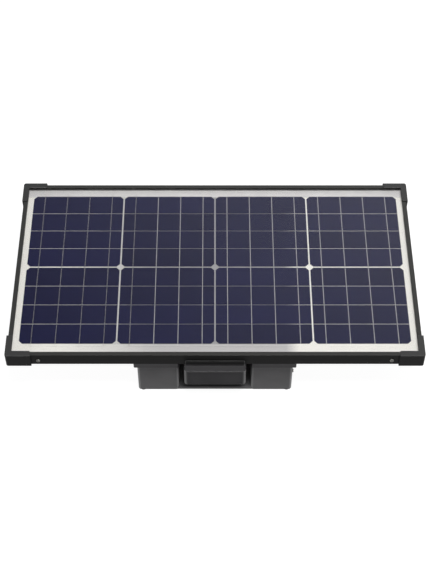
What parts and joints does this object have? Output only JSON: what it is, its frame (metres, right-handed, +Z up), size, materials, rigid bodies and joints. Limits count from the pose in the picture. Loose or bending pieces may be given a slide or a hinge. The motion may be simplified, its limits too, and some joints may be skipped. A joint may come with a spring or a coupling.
{
  "type": "solar panel",
  "caption": "Flat framed solar panel with corner guards over a moulded power housing with a front grab handle and a fold-down stand.",
  "frame": {"origin": "centre of the bounding box in plan, on the ground under the housing's rubber feet", "axes": "+X along the panel's long side to the right, +Y from the handle to the rear edge, +Z up through the glass"},
  "size_m": [0.6732, 0.3816, 0.1071],
  "materials": {
    "black_anodised": "satin black anodised",
    "black_plastic": "moulded",
    "black_rubber": "matt",
    "board_green": "solder mask",
    "brass": "plain",
    "clear_encapsulant": "clear cured film",
    "die_cast": "plain",
    "guard_plastic": "fine moulded texture",
    "housing_plastic": "charcoal, fine moulded texture",
    "lamp_green": "tinted",
    "lead_red_black": "PVC",
    "low_iron_glass": "clear tempered, low-iron",
    "pack_film": "shrink film",
    "silicon_cell": "dark blue anti-reflective coating",
    "soft_grip": "soft-touch",
    "tinned_copper": "tin plated",
    "white_backsheet": "white film",
    "zinc_steel": "zinc plated"
  },
  "bodies": {
    "panel": {"glass_cover": "low_iron_glass", "encapsulant_front": "clear_encapsulant", "solar_cells": "silicon_cell", "cell_ribbons": "tinned_copper", "bus_ribbons": "tinned_copper", "encapsulant_rear": "clear_encapsulant", "backsheet": "white_backsheet", "edge_seal": "black_rubber", "rail_front": "black_anodised", "rail_rear": "black_anodised", "rail_left": "black_anodised", "rail_right": "black_anodised", "corner_keys": "die_cast", "frame_screws": "zinc_steel", "guard_front_left": "guard_plastic", "guard_front_right": "guard_plastic", "guard_rear_left": "guard_plastic", "guard_rear_right": "guard_plastic", "guard_screws": "zinc_steel", "cross_member": "black_anodised", "cover_spacers": "die_cast", "pivot_bolts": "zinc_steel", "pivot_spacers": "black_plastic", "housing_cover": "housing_plastic", "housing_screws": "zinc_steel", "housing_gasket": "black_rubber", "housing_tub": "housing_plastic", "base_plate": "housing_plastic", "case_screws": "zinc_steel", "rubber_feet": "black_rubber", "handle_arch": "housing_plastic", "handle_grip": "soft_grip", "junction_box": "black_plastic", "junction_lid": "black_plastic", "neck_seal": "black_rubber", "bypass_diodes": "black_plastic", "panel_leads": "lead_red_black", "battery_pack": "pack_film", "battery_strap": "zinc_steel", "strap_screws": "zinc_steel", "controller_board": "board_green", "board_standoffs": "brass", "board_screws": "zinc_steel", "terminal_block": "board_green", "board_parts": "black_plastic", "heat_sink": "die_cast", "socket_plate": "black_plastic", "power_socket": "black_plastic", "usb_socket": "black_plastic", "cap_pins": "zinc_steel", "switch_body": "black_plastic", "lamp_lens": "lamp_green"},
    "stand": {"stand_bail": "black_anodised", "bail_plugs": "black_plastic", "bail_sleeves": "black_rubber"},
    "knob_left": {"clamp_knob_left": "black_plastic"},
    "knob_right": {"clamp_knob_right": "black_plastic"},
    "socket_lid": {"socket_cap": "soft_grip"},
    "usb_lid": {"usb_cap": "soft_grip"},
    "button": {"power_button": "black_plastic"}
  },
  "joints": [
    {"name": "stand_fold", "type": "hinge", "parent": "panel", "child": "stand", "pos_m": [0, -0.1166, 0.087], "axis": [-1, 0, 0], "range_deg": [0, 60]},
    {"name": "knob_left_turn", "type": "hinge", "parent": "panel", "child": "knob_left", "pos_m": [-0.293, -0.1166, 0.087], "axis": [1, 0, 0], "continuous": true},
    {"name": "knob_right_turn", "type": "hinge", "parent": "panel", "child": "knob_right", "pos_m": [0.293, -0.1166, 0.087], "axis": [1, 0, 0], "continuous": true},
    {"name": "socket_cap_open", "type": "hinge", "parent": "panel", "child": "socket_lid", "pos_m": [0.131, -0.0566, 0.0364], "axis": [0, 0, 1], "range_deg": [0, 100]},
    {"name": "usb_cap_open", "type": "hinge", "parent": "panel", "child": "usb_lid", "pos_m": [0.131, -0.0951, 0.0364], "axis": [0, 0, 1], "range_deg": [0, 100]},
    {"name": "button_press", "type": "slide", "parent": "panel", "child": "button", "axis": [-1, 0, 0], "range_m": [0, 0.0015], "stiffness_N_per_m": 600}
  ]
}
